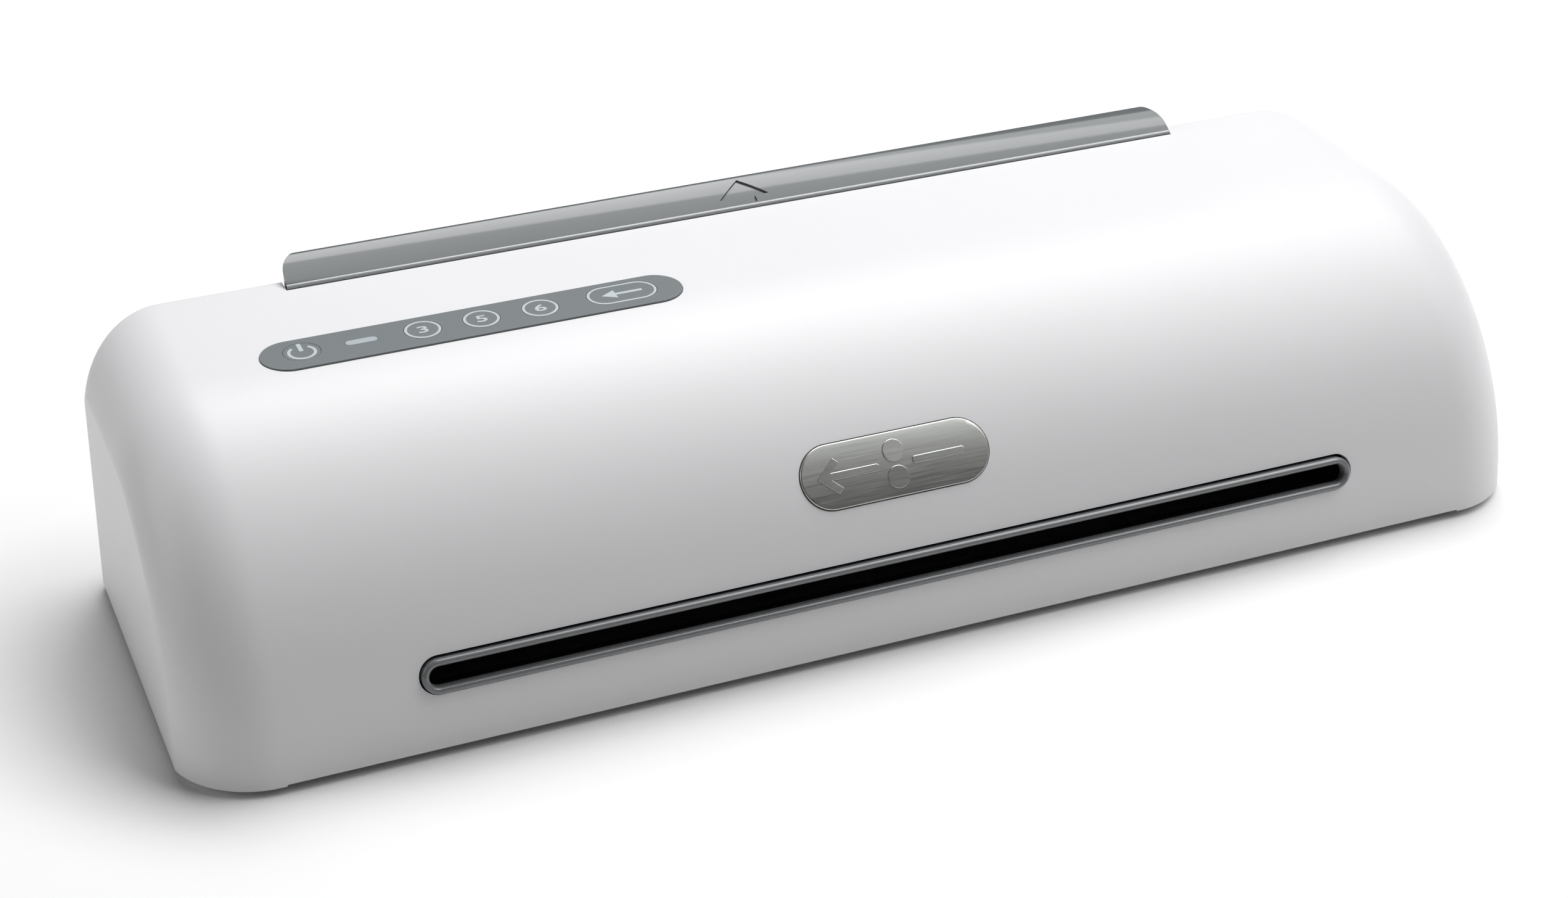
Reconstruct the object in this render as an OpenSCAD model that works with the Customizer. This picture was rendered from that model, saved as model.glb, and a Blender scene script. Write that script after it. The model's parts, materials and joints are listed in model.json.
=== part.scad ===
// Pouch laminator for pouches up to nine inches wide.
// Frame: +X to the right seen from the exit side, +Y to the rear, +Z up, millimetres.
// The origin is on the resting surface, under the centre of the whole machine.

/* [Housing] */
// Length of the housing before its end faces are trimmed flat
body_l = 356; // [352:1:368]
// Depth of the housing, from the front base line to the rear wall
body_d = 112; // [111.5:0.5:113]
// Thickness of the housing wall
wall = 2.5; // [2:0.1:2.8]
// Radius of the rounded front corners and of the end edges
end_r = 22; // [20:1:24]
// Radius of the rounded rear corners
rear_end_r = 15; // [12:1:17]
// Lean of the front wall at its base, in degrees
base_lean = 5.4; // [5:0.2:6]
// Radius of the bowed front
front_r = 73; // [72.5:0.5:73.5]
// Radius of the brow, where the front turns into the top
brow_r = 60; // [58:1:61]
// Inward lean of the end faces, in mm per mm of height
end_draft = 0.033; // [0.02:0.001:0.04]
// Height of the rubber feet below the housing
foot_h = 2; // [2:0.5:3]

/* [Pouch path] */
// Width of the exit opening
slot_w = 239.5; // [236:0.5:240]
// Height of the exit opening
slot_h = 5.1; // [4.9:0.1:5.3]
// Rise of the pouch path towards the rear, in degrees
path_rise = 12; // [11.5:0.5:12.5]
// Radius of the silicone rollers
roller_r = 11; // [10.8:0.1:11]
// Gap between the two rollers with no pouch in them
nip_gap = 0.3; // [0.2:0.1:0.5]

/* [Feed tray] */
// Width of the feed tray
tray_w = 246; // [244:1:246]
// Radius of the tray's rear edges
tray_edge_r = 9; // [6:0.5:10]
// Wall of the tray
tray_t = 2; // [1.8:0.1:2]

/* [Controls] */
// Length of the control panel
panel_l = 105; // [104:1:108]
// Width of the control panel
panel_w = 14.5; // [14:0.5:16]
// Radius of the round keys
key_r = 4.5; // [4.2:0.1:4.8]
// Travel of the keys
key_travel = 0.5; // [0.3:0.1:0.5]

/* [Gears] */
// Teeth on each roller gear
roller_teeth = 22; // [22:1:22]
// Teeth on the motor pinion
pinion_teeth = 14; // [13:1:15]

/* [Hidden] */
$fn = 48;

// Places shared by several sub-parts
tray_proud = 4;                           // the closed tray stands this far behind the rear wall
front_y = -(body_d + tray_proud) / 2;     // front base line
rear_y = front_y + body_d;                // outer face of the rear wall
shell_z = foot_h;                         // lower edge of the housing
base_rise = 6.1;                          // length of the straight leaning foot of the front wall
brow_start = 56;                          // angle at which the bowed front hands over to the brow
ridge_r = 4;                              // rounding between the top and the rear wall
end_start = 17;                           // angle of the soft crease around the flat end faces
eps = 0.01;                               // overcut that keeps differences clean

front_c = [front_y + sin(base_lean) * base_rise + front_r * cos(base_lean),
           shell_z + cos(base_lean) * base_rise - front_r * sin(base_lean)];
brow_c = front_c + (front_r - brow_r) * [-cos(brow_start), sin(brow_start)];
top_z = brow_c[1] + brow_r;               // flat top of the housing
ceiling_z = top_z - wall;                 // underside of the flat top

// Exit slot, on the bowed front
slot_z = 20.3;
slot_lean = asin((slot_z - front_c[1]) / front_r);
slot_y = front_c[0] - front_r * cos(slot_lean);
bezel_w = slot_w + 4.4;
bezel_h = 8.5;
bezel_gap = 0.5;
bezel_lift = 0.25;                        // the housing's opening is this much higher than the bezel
bezel_proud = 1.2;
bezel_depth = 5;

// Badge, on the bowed front above the slot
badge_l = 49.1;
badge_w = 15.8;
badge_lean = 35.5;

// Pouch path: its frame has the nip at the origin, v along the path and w square to it
nip_y = 0;
nip_z = slot_z + (nip_y - slot_y) * tan(path_rise);
roller_w = roller_r + nip_gap / 2;
upper_c = [nip_y - roller_w * sin(path_rise), nip_z + roller_w * cos(path_rise)];
lower_c = [nip_y + roller_w * sin(path_rise), nip_z - roller_w * cos(path_rise)];
roller_half = 122;
shaft_r = 4;
shaft_fit = 0.05;                         // radial running clearance of shafts and pins
plate_x = 129;                            // inner face of each side plate
plate_t = 1.5;
bush_r = 6;

// Gears
gear_x = 133.5;
gear_w = 7;
gear_module = 2 * roller_w / roller_teeth;
pressure = 20;
backlash = 0.12;                          // taken off each tooth at the pitch circle
pinion_dir = 90 + path_rise - 4 * 360 / roller_teeth;
pinion_dist = gear_module * (roller_teeth + pinion_teeth) / 2;
pinion_c = lower_c + pinion_dist * [cos(pinion_dir), sin(pinion_dir)];
motor_shaft_r = 2;
bracket_x = 143;

// Feed tray: its hinge is just under the lip of the infeed mouth
hinge = [rear_y - 3.2, 36.8];
pin_r = 1.5;
tray_rear_y = rear_y + tray_proud;
tray_hub_r = tray_rear_y - hinge[0];
strip_r = 28.4;
strip_end = 104;
strip_start = 123;
shoulder_r = 2;
shoulder_c = [tray_rear_y - shoulder_r, top_z + 2.7];
strip_c = shoulder_c + (shoulder_r - strip_r) * [cos(strip_end), sin(strip_end)];
lip_y = shoulder_c[0] - 9.8;
notch_y = lip_y - 0.3;
notch_half = tray_w / 2 + 0.3;
rear_sill_z = hinge[1] - tray_hub_r - 0.5;
mouth_half = 121;

// Controls
panel_c = [-85.5, 11.8];
panel_proud = 0.35;
panel_sink = 0.4;
key_gap = 0.15;
key_y = 12.4;
key_x = [-98.5, -83.9, -69.1];
power_x = -127.9;
lens_x = -113.5;
reverse_x = -48.2;
reverse_l = 17.7;
reverse_w = 9.5;
board_z = 62;
board_t = 1.6;
board_hole_xy = [[-143, 5], [-32, 5]];

// Base
base_z = shell_z + 0.6;
base_t = 2.2;
base_top = base_z + base_t;
post_xy = [for (x = [-160, 160]) for (y = [-28, 45]) [x, y]];
foot_xy = [for (x = [-150, 150]) for (y = [-38, 36]) [x, y]];
flange_xy = [for (x = [-135.5, 135.5]) for (y = [-12, 30]) [x, y]];
main_board_xy = [for (x = [-168.5, -143.5]) for (y = [-19, 36]) [x, y]];
main_board_z = base_z + 6.4;
main_board_top = main_board_z + board_t;
gland_x = -146;
gland_z = 18;

// Chassis fixings
standoff_yz = [for (y = [-16, 36]) for (z = [12, 51]) [y, z]];
tie_yz = [[-16, 18], [-17.5, 44], [34, 18], [34, 58]];

// Points on an arc in the Y-Z plane, from angle a to angle b
function arc(c, r, a, b, n) = [for (k = [0:n]) c + r * [cos(a + (b - a) * k / n), sin(a + (b - a) * k / n)]];

// Outline of the housing in the Y-Z plane, moved inwards by an amount at the front and top
// and by another at the rear, down to a base height
function housing_outline(inset, rear_inset, z_base) =
    let (foot = front_c + (front_r - inset) * [-cos(base_lean), sin(base_lean)],
         ridge = [rear_y - rear_inset - ridge_r, top_z - inset - ridge_r])
    concat([[foot[0] - tan(base_lean) * (foot[1] - z_base), z_base]],
           arc(front_c, front_r - inset, 180 - base_lean, 180 - brow_start, 10),
           arc(brow_c, brow_r - inset, 174.5 - brow_start, 90, 5),
           arc(ridge, ridge_r, 90, 0, 4),
           [[rear_y - rear_inset, z_base]]);

// Solid of the housing, moved inwards by an amount all round
module housing_solid(inset, z_base) {
    turns = [end_start, 30, 45, 60, 75, 90];
    count = len(turns);
    rings = [for (k = [0:2 * count - 1])
        let (turn = turns[k < count ? k : 2 * count - 1 - k],
             side = k < count ? -1 : 1,
             drop = end_r * (1 - sin(turn)),
             x = body_l / 2 - inset - end_r * (1 - cos(turn)))
        [for (p = housing_outline(inset + drop, inset + drop * rear_end_r / end_r, z_base))
            [side * (x - end_draft * (p[1] - shell_z)), p[0], p[1]]]];
    m = len(rings[0]);
    sides = [for (k = [0:2 * count - 2]) for (j = [0:m - 1])
        let (a = k * m + j, b = k * m + (j + 1) % m)
        each [[a, b, b + m], [a, b + m, a + m]]];
    ends = [[for (j = [m - 1:-1:0]) j], [for (j = [0:m - 1]) (2 * count - 1) * m + j]];
    polyhedron(points = [for (ring = rings) each ring], faces = concat(sides, ends));
}

// Extrusion along X of a shape drawn in the Y-Z plane
module along_x(x, length) {
    translate([x, 0, 0]) rotate([90, 0, 90]) linear_extrude(length) children();
}

// The same extrusion, centred on the machine's middle plane
module across(length) {
    along_x(-length / 2, length) children();
}

// Rod along X
module rod(c, r, x, length) {
    translate([x, c[0], c[1]]) rotate([0, 90, 0]) cylinder(r = r, h = length);
}

// Ring along X
module ring(c, r, bore_r, x, length) {
    difference() {
        rod(c, r, x, length);
        rod(c, bore_r, x - 1, length + 2);
    }
}

// A child and its mirror image on the other side
module both_ends() {
    children();
    mirror([1, 0, 0]) children();
}

// Frame of the pouch path
module in_path() {
    translate([0, nip_y, nip_z]) rotate([path_rise, 0, 0]) children();
}

// Frame of the exit slot: X along the slot, Y up the housing, Z outwards
module in_slot() {
    translate([0, slot_y, slot_z]) rotate([90 - slot_lean, 0, 0]) children();
}

// Flat pill with round ends
module pill(length, width) {
    square([length - width, width], center = true);
    for (side = [-1, 1]) translate([side * (length - width) / 2, 0]) circle(d = width);
}

// Rectangle with round corners
module round_rect(length, width, r) {
    square([length - 2 * r, width], center = true);
    square([length, width - 2 * r], center = true);
    for (x = [-1, 1]) for (y = [-1, 1])
        translate([x * (length / 2 - r), y * (width / 2 - r)]) circle(r);
}

// Pan-head screw, head down, at a place on the base
module screw(xy, z_head, head_r, head_h, shank_r, shank_h) {
    translate([xy[0], xy[1], z_head]) {
        difference() {
            cylinder(r = head_r, h = head_h);
            translate([0, 0, -eps]) for (turn = [0, 90])
                rotate(turn) translate([-head_r * 0.6, -0.4, 0]) cube([head_r * 1.2, 0.8, 0.8]);
        }
        translate([0, 0, head_h]) cylinder(r = shank_r, h = shank_h);
    }
}

// Rod square to the pouch path, placed along x and v, from one height to another
module path_post(x, v, w, h, r) {
    in_path() translate([x, v, w]) cylinder(r = r, h = h);
}

// Involute function, in radians, of an angle in degrees
function inv(a) = tan(a) - a * PI / 180;

// Half the angle that a gear tooth fills at a radius
function tooth_half(r, pitch_r) =
    (90 * gear_module / (2 * pitch_r)) - backlash / pitch_r * 28.65
    + (inv(pressure) - inv(acos(min(1, pitch_r * cos(pressure) / r)))) * 180 / PI;

// Outline of a spur gear with its first tooth on the angle given
function gear_outline(teeth, first) =
    let (pitch_r = gear_module * teeth / 2, base_r = pitch_r * cos(pressure),
         root_r = pitch_r - 1.15 * gear_module, tip_r = pitch_r + 0.9 * gear_module,
         flank = concat([root_r], [for (k = [0:4]) base_r + (tip_r - base_r) * k / 4]))
    [for (tooth = [0:teeth - 1]) for (side = [-1, 1]) for (k = [0:len(flank) - 1])
        let (r = side < 0 ? flank[k] : flank[len(flank) - 1 - k],
             a = first + 360 * tooth / teeth + side * tooth_half(max(r, base_r), pitch_r))
        r * [cos(a), sin(a)]];

module gear(c, teeth, first, bore_r) {
    along_x(gear_x, gear_w) translate(c) difference() {
        polygon(gear_outline(teeth, first));
        circle(bore_r);
    }
}

// ---------- Housing ----------

module top_cover() {
    color("white") difference() {
        union() {
            difference() {
                housing_solid(0, shell_z);
                housing_solid(wall, shell_z - 5);
            }
            intersection() {
                housing_solid(wall / 2, shell_z);
                for (xy = post_xy) translate([xy[0], xy[1], base_top + 1]) cylinder(r = 4, h = top_z);
            }
            both_ends() rod(hinge, 3.1, notch_half - 1, 8.5);
            for (xy = board_hole_xy) translate([xy[0], xy[1], board_z + board_t])
                cylinder(r = 2.5, h = ceiling_z - board_z - board_t + 0.5);
        }
        tray_notch();
        both_ends() rod(hinge, pin_r, notch_half - 2, 8);
        in_slot() translate([0, bezel_lift, -bezel_depth]) linear_extrude(2 * bezel_depth)
            pill(bezel_w + 2 * bezel_gap, bezel_h + 2 * bezel_gap);
        badge_solid(0.25, front_r - 1.2, front_r + 2);
        translate([panel_c[0], panel_c[1], top_z - panel_sink]) linear_extrude(5)
            pill(panel_l + 0.3, panel_w + 0.3);
        key_holes(ceiling_z - 2);
        translate([gland_x, rear_y + 5, gland_z]) rotate([90, 0, 0]) cylinder(r = 5.6, h = 12);
        for (xy = post_xy) translate([xy[0], xy[1], 0]) cylinder(r = 1.4, h = 20);
        for (xy = board_hole_xy) translate([xy[0], xy[1], board_z]) cylinder(r = 1, h = 7);
        // shadow gap under the straight part of the front
        translate([-155, front_y - 1, shell_z - 1]) cube([310, 12, 1.4]);
    }
}

// Room for the closed feed tray in the housing's top and rear wall
module tray_notch() {
    translate([-notch_half, notch_y, rear_sill_z]) cube([2 * notch_half, 30, 60]);
}

// Openings for the keys and the indicator through the top
module key_holes(z) {
    translate([0, 0, z]) linear_extrude(10) {
        for (x = concat([power_x], key_x)) translate([x, key_y]) circle(key_r + key_gap);
        translate([reverse_x, key_y]) pill(reverse_l + 2 * key_gap, reverse_w + 2 * key_gap);
        translate([lens_x, key_y]) pill(8, 2.6);
    }
}

module base_tray() {
    color("gainsboro") difference() {
        union() {
            translate([0, -1.8, base_z]) linear_extrude(base_t) round_rect(348, 105.6, 20);
            for (xy = post_xy) translate([xy[0], xy[1], base_z]) cylinder(r = 5, h = base_t + 0.9);
            for (xy = flange_xy) translate([xy[0], xy[1], base_z]) cylinder(r = 4, h = base_t + 1.2);
            for (xy = main_board_xy) translate([xy[0], xy[1], base_z])
                cylinder(r = 3.2, h = main_board_z - base_z);
        }
        for (xy = post_xy) translate([xy[0], xy[1], 0]) {
            cylinder(r = 1.7, h = 12);
            cylinder(r = 3.4, h = base_z + 1.4);
        }
        for (xy = flange_xy) translate([xy[0], xy[1], base_z + 0.4]) cylinder(r = 1.3, h = 12);
        for (xy = main_board_xy) translate([xy[0], xy[1], base_z + 2]) cylinder(r = 1, h = 12);
        for (xy = foot_xy) translate([xy[0], xy[1], 0]) cylinder(r = 8, h = base_z + 0.6);
        // cooling slots under the rollers
        for (k = [-9:9]) translate([k * 12, 0, base_z - 1]) linear_extrude(5) rotate(90) pill(40, 3);
    }
}

module rubber_feet() {
    color("dimgray") for (xy = foot_xy) translate([xy[0], xy[1], 0]) {
        cylinder(r = 7.5, h = base_z + 0.6);
    }
}

module case_screws() {
    color("silver") for (xy = post_xy) screw(xy, base_z + 0.1, 2.9, 1.3, 1.4, 11);
}

module cord_gland() {
    color("dimgray") translate([gland_x, rear_y, gland_z]) rotate([-90, 0, 0]) difference() {
        union() {
            translate([0, 0, -8]) cylinder(r = 5.5, h = 8);
            cylinder(r = 8, h = 3);
            translate([0, 0, -wall - 3.2]) cylinder(r = 8, h = 3);
        }
        translate([0, 0, -9]) cylinder(r = 3.2, h = 15);
    }
}

// Curved pill that follows the bowed front, between two radii
module badge_solid(grow, r_in, r_out) {
    intersection() {
        ring(front_c, r_out, r_in, -40, 80);
        translate([0, front_c[0] - front_r * cos(badge_lean), front_c[1] + front_r * sin(badge_lean)])
            rotate([90 - badge_lean, 0, 0]) translate([0, 0, -8]) linear_extrude(16)
                pill(badge_l + 2 * grow, badge_w + 2 * grow);
    }
}

module badge_plate() {
    color("silver") badge_solid(0, front_r - 1.2, front_r + 0.7);
}

// ---------- Exit side ----------

module exit_bezel() {
    color("gray") difference() {
        in_slot() {
            translate([0, 0, -bezel_depth]) linear_extrude(bezel_depth + bezel_proud)
                pill(bezel_w, bezel_h);
            translate([0, 0, -bezel_depth]) linear_extrude(1.6) pill(bezel_w + 5, bezel_h + 4);
        }
        translate([0, slot_y + 20, slot_z]) rotate([90, 0, 0]) linear_extrude(40) pill(slot_w, slot_h);
    }
}

// Guide sheet between the rollers and the exit, with stiffening ribs on its outer side
module exit_guide(side) {
    in_path() {
        translate([-plate_x, -46.5, side > 0 ? 2.8 : -4.8]) cube([2 * plate_x, 36, 2]);
        for (k = [-5:5])
            translate([k * 22 - 1, -40, side > 0 ? 4.8 : -7]) cube([2, 26, 2.2]);
    }
}

module exit_guide_upper() {
    color("dimgray") exit_guide(1);
}

module exit_guide_lower() {
    color("dimgray") exit_guide(-1);
}

// ---------- Feed side ----------

// Panel behind the feed tray with the infeed mouth and the trough for the tray's hinge
module infeed_frame() {
    mouth_y = lip_y + 0.2;
    throat_y = mouth_y - 7.8;
    mouth_z = nip_z + mouth_y * tan(path_rise);
    throat_z = nip_z + throat_y * tan(path_rise);
    color("dimgray") {
        across(2 * mouth_half) polygon([
            [mouth_y, mouth_z + 2.9], [mouth_y, ceiling_z - 0.1], [mouth_y - 2.2, ceiling_z - 0.1],
            [mouth_y - 2.2, mouth_z + 7], [throat_y, throat_z + 4], [throat_y, throat_z + 1.4]]);
        across(2 * mouth_half) polygon(concat(
            [[mouth_y, mouth_z - 2.8], [throat_y, throat_z - 1.4], [throat_y, throat_z - 3.6]],
            arc(hinge, tray_hub_r + 2.2, 176, 240, 8),
            arc(hinge, tray_hub_r + 0.5, 240, 176, 8),
            [[mouth_y - 2.4, hinge[1] + 1.6], [mouth_y, mouth_z - 3.8]]));
        both_ends() along_x(mouth_half, plate_x - mouth_half) polygon([
            [throat_y, throat_z - 3.6], [throat_y, throat_z + 4], [mouth_y - 2.2, mouth_z + 7],
            [mouth_y - 2.2, ceiling_z - 0.1], [mouth_y - 0.6, ceiling_z - 0.1],
            [mouth_y - 0.6, hinge[1] + 3.5], [mouth_y - 2.6, hinge[1] + 1.6]]);
    }
}

// Outline of the feed tray in the Y-Z plane, moved inwards, with its open side at a given y
function tray_outline(t, open_y) =
    concat(arc(strip_c, strip_r - t, strip_start, strip_end, 8),
           t < shoulder_r ? arc(shoulder_c, shoulder_r - t, strip_end, 0, 6) : [shoulder_c],
           arc(hinge, tray_hub_r - t, 0, -90, 10),
           [[hinge[0] - 2.6, hinge[1] - 2.6], [open_y + 0.7, hinge[1] + 2], [open_y, top_z - 2.6]]);

// Plan of the feed tray, moved inwards, with rounded rear corners
module tray_plan(t) {
    w = tray_w - 2 * t;
    r = tray_edge_r - t;
    deep = tray_rear_y - t - 20;
    translate([-w / 2, 20]) square([w, deep - r]);
    translate([-w / 2 + r, 20]) square([w - 2 * r, deep]);
    for (side = [-1, 1]) translate([side * (w / 2 - r), 20 + deep - r]) circle(r);
}

module tray_block(t, open_y) {
    intersection() {
        across(tray_w + 10) polygon(tray_outline(t, open_y));
        linear_extrude(100) tray_plan(t);
    }
}

module feed_tray() {
    color("darkgray") difference() {
        union() {
            difference() {
                tray_block(0, lip_y + 0.7);
                tray_block(tray_t, 30);
            }
            for (k = [-4:4]) intersection() {
                along_x(k * 28 - 1, 2) polygon(tray_outline(1, lip_y + 0.7));
                linear_extrude(100) tray_plan(1);
            }
            // rounded bead along the lip
            rod([lip_y + 0.75, top_z + 0.2], 0.75, -tray_w / 2, tray_w);
            rod(hinge, 3.2, -tray_w / 2, tray_w);
        }
        both_ends() rod(hinge, pin_r + shaft_fit, tray_w / 2 - 9, 12);
        strip_arrow();
    }
}

// Arrow sunk into the strip on top of the tray, pointing the way the tray opens
module strip_arrow() {
    head = [[0, 5.7], [-6.8, 0], [-3, 0], [-3, -1.7], [3, -1.7], [3, 0], [6.8, 0]];
    intersection() {
        translate([-1.3, shoulder_c[0] - 7, top_z]) linear_extrude(10) polygon(head);
        ring(strip_c, strip_r + 2, strip_r - 0.5, -10, 20);
    }
}

module tray_hinge_pins() {
    color("silver") both_ends() rod(hinge, pin_r, tray_w / 2 - 8.5, 14.5);
}

// ---------- Controls ----------

module control_overlay() {
    color("slategray") difference() {
        translate([panel_c[0], panel_c[1], top_z - panel_sink])
            linear_extrude(panel_sink + panel_proud) pill(panel_l, panel_w);
        key_holes(top_z - 3);
    }
}

module ready_lens() {
    color("lightblue") translate([lens_x, key_y, ceiling_z]) linear_extrude(wall + panel_proud)
        pill(7.8, 2.4);
}

// Key with a cap, a flange that keeps it in the housing, and a stem over its switch.
// The children draw the cap and the flange.
module key(x) {
    stem_z = board_z + board_t + 3.1 + key_travel;
    color("slategray") translate([x, key_y, 0]) {
        translate([0, 0, ceiling_z - 0.6]) linear_extrude(wall + 0.6 + panel_proud) children(0);
        translate([0, 0, ceiling_z - 1.5]) linear_extrude(1.2) children(1);
        translate([0, 0, stem_z]) cylinder(r = 1.5, h = ceiling_z - 1 - stem_z);
    }
}

module round_key(x) {
    key(x) {
        circle(key_r);
        circle(key_r + 1.4);
    }
}

module power_key() {
    round_key(power_x);
}

module key_3() {
    round_key(key_x[0]);
}

module key_5() {
    round_key(key_x[1]);
}

module key_6() {
    round_key(key_x[2]);
}

module reverse_key() {
    key(reverse_x) {
        pill(reverse_l, reverse_w);
        pill(reverse_l + 2.8, reverse_w + 2.8);
    }
}

module control_board() {
    color("seagreen") difference() {
        translate([-146, 2, board_z]) cube([117, 20, board_t]);
        for (xy = board_hole_xy) translate([xy[0], xy[1], board_z - 1]) cylinder(r = 1.6, h = 4);
    }
}

module key_switches() {
    color("dimgray") for (x = concat([power_x], key_x, [reverse_x]))
        translate([x, key_y, board_z + board_t]) {
            translate([-3, -3, 0]) cube([6, 6, 2.4]);
            translate([0, 0, 2.4]) cylinder(r = 1.6, h = 0.6);
        }
}

module ready_led() {
    color("palegreen") translate([lens_x, key_y, board_z + board_t]) {
        cylinder(r = 1.5, h = 3);
        translate([0, 0, 3]) sphere(r = 1.5);
    }
}

module panel_ribbon() {
    color("lightgray") {
        translate([-148, 9, main_board_top]) cube([0.8, 11, board_z + board_t - main_board_top]);
        translate([-148, 9, board_z + board_t]) cube([9, 11, 0.8]);
    }
}

// ---------- Electrics ----------

module main_board() {
    color("seagreen") difference() {
        translate([-172, -22, main_board_z]) cube([32, 62, board_t]);
        for (xy = main_board_xy) translate([xy[0], xy[1], 0]) cylinder(r = 1.6, h = 30);
    }
}

module transformer() {
    color("goldenrod") translate([-156, -8, main_board_top]) {
        translate([-10, -13, 0]) cube([20, 26, 4]);
        translate([-10, -9, 4]) cube([20, 18, 16]);
        translate([-7, -13, 4]) cube([14, 26, 13]);
    }
}

module relay() {
    color("royalblue") translate([-171, 8, main_board_top]) cube([15, 12, 14]);
}

module smoothing_capacitor() {
    color("midnightblue") translate([-152, 14, main_board_top]) {
        cylinder(r = 3.1, h = 11);
        cylinder(r = 3.3, h = 1.5);
    }
}

module terminal_block() {
    color("darkgreen") difference() {
        translate([-165, 22, main_board_top]) cube([24, 9, 11]);
        for (k = [0:3]) translate([-162 + 6 * k, 26.5, main_board_top + 6]) cylinder(r = 1.9, h = 9);
    }
}

module board_screws() {
    color("silver") {
        for (xy = main_board_xy) translate([xy[0], xy[1], main_board_top]) {
            cylinder(r = 2.2, h = 1.4);
            translate([0, 0, -5]) cylinder(r = 1, h = 5.5);
        }
        for (xy = board_hole_xy) translate([xy[0], xy[1], board_z - 1.4]) {
            cylinder(r = 2.2, h = 1.4);
            cylinder(r = 1, h = 6.4);
        }
    }
}

// ---------- Chassis ----------

// Side plate with a foot flange, holes for bushes, tie bars and standoffs, and a spring tab
module side_plate(standoffs) {
    difference() {
        union() {
            along_x(plate_x, plate_t) polygon([
                [-22.5, base_top + 1.2], [43, base_top + 1.2], [43, 44], [41, 48], [41, 61.2],
                [-6, 61.2], [-22.5, 56]]);
            translate([plate_x, -18, base_top + 1.2]) cube([11, 60, plate_t]);
            in_path() translate([plate_x - 6, -4, roller_w + bush_r + 8.6]) cube([6.5, 8, plate_t]);
        }
        for (c = [upper_c, lower_c]) rod(c, bush_r, plate_x - 1, 4);
        for (c = tie_yz) rod(c, 1.6, plate_x - 1, 4);
        if (standoffs) for (c = standoff_yz) rod(c, 1.6, plate_x - 1, 4);
        for (xy = flange_xy) translate([abs(xy[0]), xy[1], 0]) cylinder(r = 1.7, h = 15);
    }
}

module side_plate_left() {
    color("silver") mirror([1, 0, 0]) side_plate(false);
}

module side_plate_right() {
    color("silver") side_plate(true);
}

module tie_bars() {
    color("silver") for (c = tie_yz) difference() {
        rod(c, 3, -plate_x, 2 * plate_x);
        both_ends() rod(c, 1.3, plate_x - 8, 10);
    }
}

module chassis_screws() {
    color("silver") {
        for (c = tie_yz) both_ends() {
            rod(c, 1.3, plate_x - 7, 7 + plate_t);
            rod(c, 2.6, plate_x + plate_t, 1.6);
        }
        for (xy = flange_xy) translate([xy[0], xy[1], base_top + 1.2 + plate_t]) {
            cylinder(r = 2.6, h = 1.6);
            translate([0, 0, -4.5]) cylinder(r = 1.3, h = 5);
        }
    }
}

// ---------- Rollers and drive ----------

module roller(c) {
    ring(c, roller_r, shaft_r, -roller_half, 2 * roller_half);
}

// Shaft with a snap-ring groove at each end
module roller_shaft(c) {
    difference() {
        rod(c, shaft_r, -136, gear_x + gear_w + 2.2 + 136);
        clips(c, 0.01);
    }
}

// Snap rings that keep the shaft in place and the gear on it
module clips(c, grow) {
    for (x = [-134, gear_x + gear_w]) difference() {
        rod(c, 6.2 + grow, x, 0.9);
        rod(c, 3.2, x - 1, 3);
    }
}

module upper_roller() {
    color("sienna") roller(upper_c);
}

module upper_roller_shaft() {
    color("silver") roller_shaft(upper_c);
}

module upper_gear() {
    color("ivory") gear(upper_c, roller_teeth, path_rise - 90 + 180 / roller_teeth, shaft_r);
}

module upper_clips() {
    color("silver") clips(upper_c, 0);
}

module lower_roller() {
    color("sienna") roller(lower_c);
}

module lower_roller_shaft() {
    color("silver") roller_shaft(lower_c);
}

module lower_gear() {
    color("ivory") gear(lower_c, roller_teeth, path_rise + 90, shaft_r);
}

module lower_clips() {
    color("silver") clips(lower_c, 0);
}

// Flanged bushes of one shaft, pressed into the side plates
module bushes(c) {
    both_ends() difference() {
        union() {
            rod(c, bush_r, roller_half + 1, 9);
            rod(c, bush_r + 1.2, plate_x + plate_t, 1.2);
        }
        rod(c, shaft_r + shaft_fit, roller_half, 12);
    }
}

module upper_bushes() {
    color("wheat") bushes(upper_c);
}

module lower_bushes() {
    color("wheat") bushes(lower_c);
}

// Coil springs that press the upper bushes down, one at each end
module pinch_springs() {
    wire_r = 0.5;
    coil_r = 2.3;
    turns = 4;
    steps = 12 * turns;
    height = 7;
    sides = 6;
    points = [for (k = [0:steps]) for (j = [0:sides - 1])
        let (turn = 360 * turns * k / steps, a = 360 * j / sides, r = coil_r + wire_r * cos(a))
        [r * cos(turn), r * sin(turn), height * k / steps + wire_r * sin(a)]];
    faces = concat(
        [for (k = [0:steps - 1]) for (j = [0:sides - 1])
            let (a = k * sides + j, b = k * sides + (j + 1) % sides)
            each [[a, b + sides, b], [a, a + sides, b + sides]]],
        [[for (j = [0:sides - 1]) j]],
        [[for (j = [sides - 1:-1:0]) steps * sides + j]]);
    color("silver") both_ends() in_path()
        translate([plate_x - 3.2, 0, roller_w + bush_r + 0.9]) polyhedron(points, faces);
}

// ---------- Heating ----------

// Aluminium plate beside the pouch path, on one side of it
module heat_plate(side) {
    in_path() difference() {
        translate([-plate_x, 12.5, side > 0 ? 0.9 : -3.9]) cube([2 * plate_x, 25, 3]);
        for (x = [-122, 122]) translate([x, 25, -5]) cylinder(r = 1.6, h = 10);
    }
}

module upper_heat_plate() {
    color("lightgray") heat_plate(1);
}

module lower_heat_plate() {
    color("lightgray") heat_plate(-1);
}

module upper_heater() {
    color("peru") in_path() translate([-110, 16, 3.9]) cube([220, 18, 1]);
}

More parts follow.
